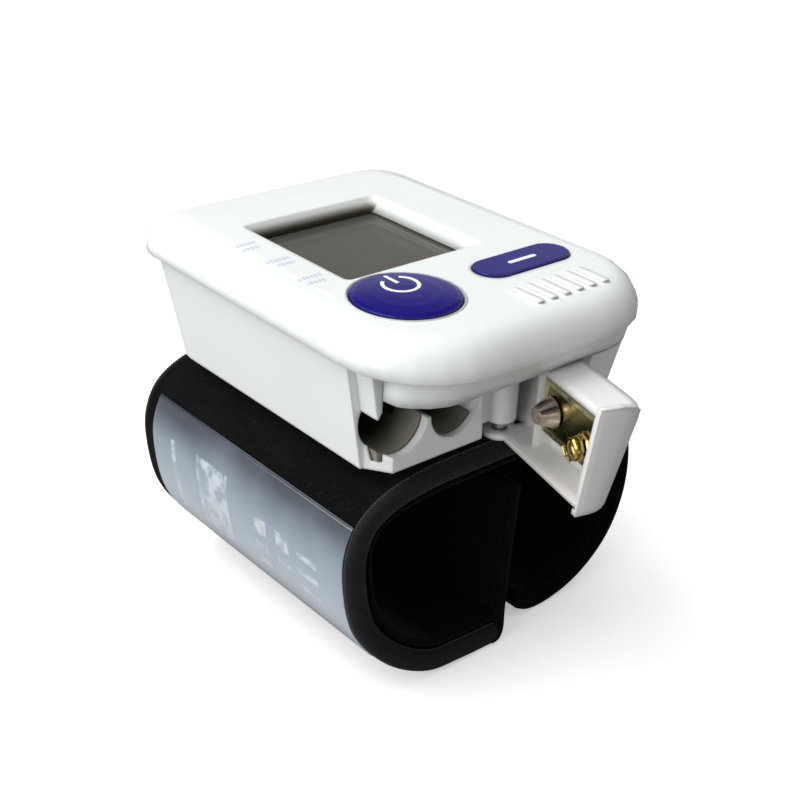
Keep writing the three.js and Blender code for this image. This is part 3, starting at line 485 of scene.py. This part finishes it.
def cradlePlastic(name):  # painted shade darkens the grey of the bores inwards
    # the depth colour is painted shade, deepest towards the back of the bores
    cradle = {"mouth": "8d8a7d", "depth": "2a2923", "front": -23.5, "deepShade": -15.5, "uneven": 1.5,
              "roughness": 0.45, "cloudy": 0.1, "texture": 0.012, "edge": 0.25}
    recipe = Recipe(name)
    spot = recipe.spot()
    cloud = recipe.grain(spot, scale=0.2, detail=3.0)
    # painted shade: the bores darken from their mouth inwards
    shadeInwards = recipe.step(recipe.axis(spot, "Y") + cloud * cradle["uneven"], cradle["front"], cradle["deepShade"])
    fine = recipe.grain(spot, scale=3.5)
    return recipe.finish({
        "Base Color": recipe.mix(shadeInwards, tone(cradle["mouth"]), tone(cradle["depth"])),
        "Roughness": cradle["roughness"] + cloud * cradle["cloudy"],
        "Normal": recipe.bump(fine, cradle["texture"], recipe.roundEdges(cradle["edge"])),
    })


def glossPlastic(name, colour, pale):
    gloss = {"pale": 0.5, "roughness": 0.24, "scuffed": 0.1, "scuffStretch": (1.0, 6.0, 1.0),
             "texture": 0.006, "edge": 0.25}
    recipe = Recipe(name)
    spot = recipe.spot()
    cloud = recipe.grain(spot, scale=0.15)
    drawn = recipe.stretch(spot, gloss["scuffStretch"])
    scuff = recipe.patches(drawn, scale=0.6, rough=0.7, low=0.6, high=0.8)
    fine = recipe.grain(spot, scale=2.0, detail=1.0)
    return recipe.finish({
        "Base Color": recipe.mix(cloud * gloss["pale"], tone(colour), tone(pale)),
        "Roughness": gloss["roughness"] + scuff * gloss["scuffed"],
        "Normal": recipe.bump(fine, gloss["texture"], recipe.roundEdges(gloss["edge"])),
        "Coat Weight": 0.15, "Coat Roughness": 0.1,
    })


def darkPlastic(name, colour="18181b", roughness=0.55):
    recipe = Recipe(name)
    spot = recipe.spot()
    cloud = recipe.grain(spot, scale=0.2)
    fine = recipe.grain(spot, scale=2.5)
    return recipe.finish({
        "Base Color": recipe.mix(cloud, tone(colour), tone("26262a")), "Roughness": roughness + fine * 0.08,
        "Normal": recipe.bump(fine, 0.02, recipe.roundEdges(0.2)),
    })


# metals

metal = {"dulling": 0.18, "edge": 0.12, "brushing": 0.01}


def tarnishOn(recipe, spot):
    return recipe.patches(spot, scale=0.5, rough=0.65, low=0.42, high=0.75)


def brushedMetal(name, colour, dark, roughness, stretch=(1.0, 1.0, 12.0)):
    recipe = Recipe(name)
    spot = recipe.spot()
    lines = recipe.grain(recipe.stretch(spot, stretch), scale=1.2, detail=3.0)
    tarnish = tarnishOn(recipe, spot)
    return recipe.finish({
        "Base Color": recipe.mix(tarnish, tone(colour), tone(dark)), "Metallic": 1.0,
        "Roughness": roughness + tarnish * metal["dulling"],
        "Normal": recipe.bump(lines, metal["brushing"], recipe.roundEdges(metal["edge"])),
    })


def pressedBrass(name):  # a painted highlight makes the pressed rim brighter than the plate's field
    plate = {  # its middle and half length are measured along the way the open door runs
        "way": (0.2588, 0.9659, 0), "middle": -41.1, "half": 8.9, "height": 53.2, "halfHeight": 4.8,
        "rim": 1.0, "soft": 0.12, "rise": 0.3, "roughness": 0.2,
        "field": "a79f63", "fieldDark": "5d5630", "edge": "e9e6b4", "rimHighlightDark": "c3bd7c",
    }
    recipe = Recipe(name)
    spot = recipe.spot()
    sides = []
    for place, middle, half in ((recipe.reach(spot, plate["way"]), plate["middle"], plate["half"]),
                                (recipe.axis(spot, "Z"), plate["height"], plate["halfHeight"])):
        start = half - plate["rim"]
        sides.append(recipe.step(recipe.size(place - middle), start - plate["soft"], start + plate["soft"]))
    rim = recipe.union(sides)
    tarnish = tarnishOn(recipe, spot)
    field = recipe.mix(tarnish, tone(plate["field"]), tone(plate["fieldDark"]))
    # the rim's pale colours are a painted highlight on the raised rim
    edge = recipe.mix(tarnish, tone(plate["edge"]), tone(plate["rimHighlightDark"]))
    return recipe.finish({
        "Base Color": recipe.mix(rim, field, edge), "Metallic": 1.0,
        "Roughness": plate["roughness"] + tarnish * metal["dulling"],
        "Normal": recipe.bump(rim, plate["rise"], recipe.roundEdges(metal["edge"])),
    })


# window, display and board

def smokyGlass(name):
    recipe = Recipe(name)
    haze = recipe.grain(recipe.spot(), scale=0.09)
    return recipe.finish({
        "Base Color": recipe.mix(haze, tone("5f5d55"), tone("6b6962")), "Roughness": 0.06 + haze * 0.05,
        "Alpha": 0.45, "IOR": 1.5, "Normal": recipe.bump(haze, 0.01),
    })


def displayGrey(name):  # switched off, with the ghosts of its segments
    display = {"x": -2.6, "y": 6.0, "rowPitch": 8.0, "rowFrom": 0.4, "rowTo": 0.42,
               "columnPitch": 6.0, "columnFrom": 0.34, "columnTo": 0.3,
               "ghost": 0.12, "segment": "6a6a60", "ground": "6f6d65", "pale": "77756c"}
    recipe = Recipe(name)
    spot = recipe.spot()
    across = recipe.axis(spot, "X") - display["x"]
    along = recipe.axis(spot, "Y") - display["y"]
    rows = recipe.size(recipe.fraction(along / display["rowPitch"] + 0.5) - 0.5)
    columns = recipe.size(recipe.fraction(across / display["columnPitch"]) - 0.5)
    ghost = (recipe.step(rows, display["rowFrom"], display["rowTo"])
             * recipe.step(columns, display["columnFrom"], display["columnTo"]))
    cloud = recipe.grain(spot, scale=0.1)
    ground = recipe.mix(cloud, tone(display["ground"]), tone(display["pale"]))
    return recipe.finish({
        "Base Color": recipe.mix(ghost * display["ghost"], ground, tone(display["segment"])),
        "Roughness": 0.45 + cloud * 0.05, "Normal": recipe.bump(cloud, 0.01),
    })


def circuitGreen(name):  # copper tracks that run one way in some patches and the other way in the rest
    board = {"acrossPitch": 1.6, "acrossHalf": 0.16, "alongPitch": 1.9, "alongHalf": 0.12, "soft": 0.04,
             "patch": 0.22, "green": "17512f", "copper": "2f7a4c", "shine": 0.6}
    recipe = Recipe(name)
    spot = recipe.spot()
    across = recipe.fraction(recipe.axis(spot, "X") / board["acrossPitch"])
    along = recipe.fraction(recipe.axis(spot, "Y") / board["alongPitch"])
    pick = recipe.axis(recipe.cells(spot, board["patch"]), "X")
    copper = (recipe.near(across, 0.5, board["acrossHalf"], board["soft"]) * (pick > 0.5)
              + recipe.near(along, 0.5, board["alongHalf"], board["soft"]) * (pick < 0.5))
    return recipe.finish({
        "Base Color": recipe.mix(copper * board["shine"], tone(board["green"]), tone(board["copper"])),
        "Roughness": 0.35 + copper * 0.1, "Normal": recipe.bump(copper, 0.03, recipe.roundEdges(0.15)),
    })


finishes = {
    "shell": shellPlastic("white_shell_plastic"),
    "tub": mouldedPlastic("white_tub_plastic", "eff2f1", 0.34, edge=0.7, coat=0.1, samples=8),
    "door": mouldedPlastic("white_door_plastic", "f0eeec", 0.34, edge=2.0, coat=0.1, samples=14),
    "cradle": cradlePlastic("cradle_plastic"),
    "inner": mouldedPlastic("inner_plastic", "e6e7e6", 0.42, edge=0.25),
    "blue": glossPlastic("button_blue", "150d6e", "1d1586"),
    "glass": smokyGlass("window_smoke"),
    "display": displayGrey("display_glass"),
    "board": circuitGreen("circuit_board"),
    "dark": darkPlastic("dark_plastic"),
    "brass": brushedMetal("contact_brass", "d6cf95", "8a8348", 0.22),
    "plate": pressedBrass("pressed_brass"),
    "nickel": brushedMetal("warm_nickel", "e0cfc4", "9c8470", 0.18),
    "gilt": brushedMetal("gilt_wire", "dcc27c", "8d7a3c", 0.2),
    "steel": brushedMetal("spring_steel", "d4d5d2", "9a9a92", 0.22),
    "can": brushedMetal("motor_can", "c2c4c6", "8d8f92", 0.32, (12.0, 1.0, 1.0)),
    "rubber": mouldedPlastic("clear_hose", "d9dad6", 0.5, edge=0.2),
    "bladder": darkPlastic("bladder_rubber", "2d3036", 0.6),
}
wearers = {  # the pieces of the model that wear each finish
    "shell": ["top_cover"],
    "tub": ["lower_housing"],
    "door": ["battery_door"],
    "inner": ["display_frame", "cuff_plate"],
    "cradle": ["cell_cradle"],
    "blue": ["start_button", "memory_button"],
    "glass": ["display_window"],
    "display": ["display_panel"],
    "board": ["main_board"],
    "dark": ["processor", "start_switch", "memory_switch", "pressure_sensor", "pump_head", "air_valve",
             "buzzer"],
    "brass": ["back_contact_left", "back_contact_right"],
    "plate": ["door_contact_plate"],
    "nickel": ["door_contact_cup"],
    "gilt": ["door_contact_spring"],
    "steel": ["back_spring", "hinge_pin", "housing_screw_1", "housing_screw_2",
              "housing_screw_3", "board_screw_1", "board_screw_2"],
    "can": ["pump_motor"],
    "rubber": ["air_nipple", "air_hose", "cuff_former"],
    "bladder": ["cuff_bladder"],
}
for finish, names in wearers.items():
    for name in names:
        node = nodes[name]
        if not node.material_slots:
            node.data.materials.append(finishes[finish])
        for slot in node.material_slots:
            slot.material = finishes[finish]
print("stage: moulded, glass and metal finishes are on")


# cloths and film of the cuff

def velvet(name, colour="040405", lift="0e0e11", fleck="2b2b30", pile=0.16):
    nap = {"stretch": (1.0, 0.35, 1.0), "low": 0.45, "high": 0.75, "lifted": 0.5, "lint": 0.55}
    recipe = Recipe(name)
    spot = recipe.spot()
    fuzz = recipe.grain(spot, scale=2.2, detail=4.0, rough=0.7, warp=1.5)
    brushed = recipe.grain(recipe.stretch(spot, nap["stretch"]), scale=0.25, detail=3.0)
    lifted = recipe.step(brushed, nap["low"], nap["high"]) * nap["lifted"]
    shade = recipe.mix(lifted, tone(colour), tone(lift))
    lint = recipe.patches(spot, scale=1.3, rough=0.75, low=0.56, high=0.74)
    return recipe.finish({
        "Base Color": recipe.mix(lint * nap["lint"], shade, tone(fleck)), "Roughness": 0.95,
        "Sheen Weight": 0.06, "Sheen Roughness": 0.4, "Sheen Tint": (0.7, 0.7, 0.75, 1),
        "Specular IOR Level": 0.12, "Normal": recipe.bump(fuzz, pile),
    })


def overlock(name):
    recipe = Recipe(name)
    fuzz = recipe.grain(recipe.spot(), scale=4.0, detail=3.0, rough=0.6)
    return recipe.finish({
        "Base Color": recipe.mix(fuzz, tone("0b0c0e"), tone("1d1e22")), "Roughness": 0.8,
        "Sheen Weight": 0.2, "Sheen Roughness": 0.4, "Specular IOR Level": 0.25,
        "Normal": recipe.bump(fuzz, 0.05),
    })


def glossyFilm(name):  # pale below and dark above, with plain worn bars
    label = {
        "top": "3a3f48", "high": "9aa8b5", "low": "dde7ee", "print": "dde5ec", "uneven": 5.0,
        "paleFrom": 32.0, "paleTo": 12.0, "darkFrom": 29.0, "darkTo": 40.0, "soft": 0.5,
        "bars": [  # y, width, top and bottom
            (24.0, 0.8, 31.0, 12.0), (11.5, 9.0, 31.5, 16.0),
            (-3.0, 3.2, 28.0, 25.0), (-3.0, 3.2, 22.5, 21.5), (-3.0, 3.2, 19.0, 18.0),
            (-9.5, 3.2, 28.0, 25.0), (-9.5, 3.2, 22.5, 21.5),
            (-16.5, 5.0, 27.0, 26.2), (-16.5, 5.0, 23.5, 22.7), (-16.5, 5.0, 20.0, 19.2),
        ],
    }
    recipe = Recipe(name)
    spot = recipe.spot()
    height = recipe.axis(spot, "Z")
    along = recipe.axis(spot, "Y")
    cloud = recipe.grain(spot, scale=0.08)
    reach = height + cloud * label["uneven"]
    pale = recipe.step(reach, label["paleFrom"], label["paleTo"])
    dark = recipe.step(reach, label["darkFrom"], label["darkTo"])
    ground = recipe.mix(pale, tone(label["high"]), tone(label["low"]))
    ground = recipe.mix(dark, ground, tone(label["top"]))
    bars = [recipe.near(along, y, width / 2, label["soft"])
            * recipe.near(height, (top + bottom) / 2, (top - bottom) / 2, label["soft"])
            for y, width, top, bottom in label["bars"]]
    worn = recipe.patches(spot, scale=0.32, rough=0.6, low=0.38, high=0.62, start=0.05, end=0.75)
    return recipe.finish({
        "Base Color": recipe.mix(recipe.union(bars) * worn, ground, tone(label["print"])),
        "Roughness": 0.16 + cloud * 0.08, "Coat Weight": 0.5, "Coat Roughness": 0.08, "IOR": 1.5,
        "Normal": recipe.bump(cloud, 0.2),
    })


cloths = {
    "velvet": velvet("loop_cloth"),
    "lining": velvet("lining_cloth", "020203", "09090b", "0d0d0f", 0.08),
    "binding": overlock("overlock_thread"),
    "film": glossyFilm("glossy_film"),
}


# shapes of the cuff

cuff = {
    "front": -28.0, "back": 35.4, "edge": 1.9, "ends": 0.8,
    "curl": [(17, 43.5), (0, 43.5), (-14.5, 43.2), (-23.0, 41.4), (-27.9, 38.1), (-30.3, 33.0), (-30.5, 26.8),
             (-28.0, 16.2), (-20.5, 6.6), (-11.5, 1.2), (-4.0, 0.34), (4.9, 0.06)],
}
# depths from the line, rounding, and how the cloth swells
outerCloth = {"top": 0, "bottom": 1.75, "edge": 0.85, "ends": 0.8, "columns": 34, "swell": 0.2, "scale": 0.12}
innerCloth = {"top": 1.8, "bottom": 3.2, "edge": 0.7, "ends": 0.7, "columns": 34, "swell": 0.15}


def buildCurl():  # the former and the bladder lie between its sleeve and its lining
    curl = {"spacing": 1.3, "tuck": 0.4}
    outer = {**outerCloth, "bottom": 1.7, "edge": 0.8, "swell": 0.22, "scale": 0.11, "seed": 3.0}
    inner = {**innerCloth, "top": 4.45, "bottom": 5.9, "swell": 0.2, "scale": 0.13, "seed": 8.0}
    line = lineThrough(cuff["curl"], curl["spacing"], cuff["ends"])
    front = cuff["front"] + cuff["edge"] - curl["tuck"]
    back = cuff["back"] - cuff["edge"] + curl["tuck"]
    sleeve = pieceFrom("cuffSleeve", *bandSkin(line, 1, front, back, outer), cloths["velvet"], "monitor")
    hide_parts("cuff_sleeve")
    lining = pieceFrom("cuffLining", *bandSkin(line, 1, front, back, inner), cloths["lining"], "monitor")
    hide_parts("cuff_lining")


def buildBindings():  # ribbed thread wraps the curl's front and back edges
    thread = {"low": -0.12, "high": 3.9, "pitch": 0.55, "rise": 0.2, "slant": 0.9, "crest": 0.6, "bulge": 0.7,
              "stepsPerRib": 4, "steps": 16}
    line = lineThrough(cuff["curl"], thread["pitch"] / thread["stepsPerRib"])
    middle = (thread["low"] + thread["high"]) / 2
    half = (thread["high"] - thread["low"]) / 2
    for name, node, inY, turn in (("cuffBindingFront", "cuff_edge_front", cuff["front"] + cuff["edge"], -1),
                                  ("cuffBindingBack", "cuff_edge_back", cuff["back"] - cuff["edge"], 1)):
        loops = []
        for place, direction, way in line:
            inward = Vector((-direction.y, direction.x))
            loop = []
            for step in range(thread["steps"] + 1):
                angle = math.pi * step / thread["steps"]
                turns = way / thread["pitch"] + thread["slant"] * step / thread["steps"]
                wave = 0.5 + 0.5 * math.cos(2 * math.pi * turns)
                rise = thread["rise"] * (wave ** thread["crest"] - 1)
                point = place + inward * (middle - (half + rise) * math.cos(angle))
                bulge = (cuff["edge"] + rise) * math.sin(angle) ** thread["bulge"]
                loop.append((point.x, inY + turn * bulge, point.y))
            loops.append(loop)
        binding = pieceFrom(name, *loopMesh(loops), cloths["binding"], "monitor")
        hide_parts(node)


def buildFilm():  # lies on the sleeve's left side and stands a little proud of it
    film = {"high": 37.6, "low": 9.5, "right": -18, "front": -26.0, "back": 31.0, "spacing": 0.8}
    skin = {"top": -0.3, "bottom": -0.02, "edge": 0.12, "ends": 0.12, "columns": 40}
    line = fromStart([step for step in lineThrough(cuff["curl"], film["spacing"])
                      if step[0].x < film["right"] and film["low"] < step[0].y < film["high"]])
    shape = bandSkin(line, 1, film["front"], film["back"], skin)
    piece = pieceFrom("cuffFilm", *shape, cloths["film"], "monitor")
    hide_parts("cuff_film")


def buildTip():  # the tip's outer skin from its foot up, and its lining above the lining's foot
    tip = {
        "spacing": 0.9, "liningFoot": 6.6, "hem": 1.2,
        "spots": [(3.6, 0.15), (5.6, 0.7), (6.5, 2.6), (6.5, 6.5), (6.6, 12), (7.1, 24), (7.7, 33.6)],
    }
    outer = {**outerCloth, "seed": 5.0}
    inner = {**innerCloth, "scale": 0.15, "seed": 6.0}
    line = lineThrough(tip["spots"], tip["spacing"], cuff["ends"])
    upper = fromStart([step for step in line if step[0].y > tip["liningFoot"]])
    outerShape = bandSkin(line, 1, cuff["front"], cuff["back"], outer)
    innerShape = bandSkin(upper, 1, cuff["front"] + tip["hem"], cuff["back"] - tip["hem"], inner)
    skin = pieceFrom("cuffTip", *outerShape, cloths["velvet"])
    lining = pieceFrom("cuffTipLining", *innerShape, cloths["lining"])
    for piece, node in ((skin, "cuff_tip"), (lining, "cuff_tip_lining")):
        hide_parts(node)
        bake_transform(piece)


def buildFlap():  # one skin over both parts of the flap and the joint between them
    flap = {
        "front": -24.5, "spacing": 1.2, "hem": 1.5, "bendX": 36.7, "bendTop": 31.8, "bendLow": 23.4,
        "spots": [(17.4, 43.4), (31.2, 41.2), (38.4, 34.8), (41.0, 26.0), (40.6, 17.0), (37.2, 9.2),
                  (30.4, 3.2), (22.8, 0.6), (16.5, 0.5), (12.5, 2.5)],
    }
    outer = {**outerCloth, "seed": 9.0}
    inner = {**innerCloth, "bottom": 3.25, "scale": 0.14, "seed": 12.0}
    line = lineThrough(flap["spots"], flap["spacing"], cuff["ends"])
    outerShape = bandSkin(line, -1, flap["front"], cuff["back"], outer)
    innerShape = bandSkin(line, -1, flap["front"] + flap["hem"], cuff["back"] - flap["hem"], inner)
    skin = pieceFrom("cuffFlap", *outerShape, cloths["velvet"])
    lining = pieceFrom("cuffFlapLining", *innerShape, cloths["lining"])
    for piece, first, second in ((skin, "cuff_flap", "cuff_flap_end"),
                                 (lining, "cuff_flap_lining", "cuff_flap_end_lining")):
        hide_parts(first, second)
        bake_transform(piece)


buildCurl()
buildBindings()
buildFilm()
buildTip()
buildFlap()
print("stage: cuff bands, bindings and film are made")


# thin ring round the round button, and the printed signs

def buildStartRim():
    rim = {"x": -13.7, "y": -18.9, "inner": 9.32, "width": 0.45, "foot": 70.9, "rise": 0.28,
           "sides": 96, "steps": 6}
    section = []
    for step in range(rim["steps"] + 1):
        angle = math.pi * step / rim["steps"]
        section.append((rim["inner"] + rim["width"] * (1 + math.cos(angle)) / 2,
                        rim["foot"] + rim["rise"] * max(0, math.sin(angle))))
    count = len(section)
    points = []
    faces = []
    for number in range(rim["sides"]):
        angle = 2 * math.pi * number / rim["sides"]
        here = number * count
        onward = (number + 1) % rim["sides"] * count
        for side, (radius, z) in enumerate(section):
            beside = (side + 1) % count
            points.append((rim["x"] + radius * math.cos(angle), rim["y"] + radius * math.sin(angle), z))
            faces.append((here + side, here + beside, onward + beside, onward + side))
    pieceFrom("startRim", points, faces, finishes["shell"], "monitor")


ink = {"finish": mouldedPlastic("white_print", "f4f5fa", 0.4, edge=0.02, mottle=0.02, texture=0.004),
       "rise": 0.06, "sink": 0.02}


def inkLoop(first, second, top):  # round the section of a printed line, between its two sides
    low = top - ink["sink"]
    high = top + ink["rise"]
    return [(*first, low), (*second, low), (*second, high), (*first, high)]


def buildPowerSign():  # an open ring and a tick across its opening
    sign = {"x": -12.6, "y": -16.2, "top": 71.85, "radius": 2.95, "width": 0.62, "opening": 34, "steps": 48,
            "tickFoot": 0.6, "tickLength": 3.4}
    half = sign["width"] / 2
    opening = math.radians(sign["opening"])
    loops = []
    for number in range(sign["steps"] + 1):
        angle = math.pi / 2 + opening + (2 * math.pi - 2 * opening) * number / sign["steps"]
        sides = [(sign["x"] + radius * math.cos(angle), sign["y"] + radius * math.sin(angle))
                 for radius in (sign["radius"] - half, sign["radius"] + half)]
        loops.append(inkLoop(*sides, sign["top"]))
    pieceFrom("powerRing", *loopMesh(loops), ink["finish"], "start_button", smooth=False)
    foot = sign["y"] + sign["tickFoot"]
    loops = [inkLoop((sign["x"] - half, y), (sign["x"] + half, y), sign["top"])
             for y in (foot, foot + sign["tickLength"])]
    pieceFrom("powerTick", *loopMesh(loops), ink["finish"], "start_button", smooth=False)


def buildMemorySign():  # a plain bar with round ends
    bar = {"x": 12.1, "y": -18.7, "top": 71.4, "half": 3.2, "width": 0.9, "rounded": 0.14, "bluntest": 0.02,
           "steps": 12}
    loops = []
    for number in range(bar["steps"] + 1):
        reach = math.cos(math.pi * number / bar["steps"])
        past = max(0.0, abs(reach) - (1 - bar["rounded"]))
        half = bar["width"] / 2 * math.sqrt(max(bar["bluntest"], 1 - past ** 2 / bar["rounded"] ** 2))
        x = bar["x"] - bar["half"] * reach
        loops.append(inkLoop((x, bar["y"] - half), (x, bar["y"] + half), bar["top"]))
    pieceFrom("memoryBar", *loopMesh(loops), ink["finish"], "memory_button", smooth=False)


buildStartRim()
buildPowerSign()
buildMemorySign()
print("stage: trim and printed signs are on")
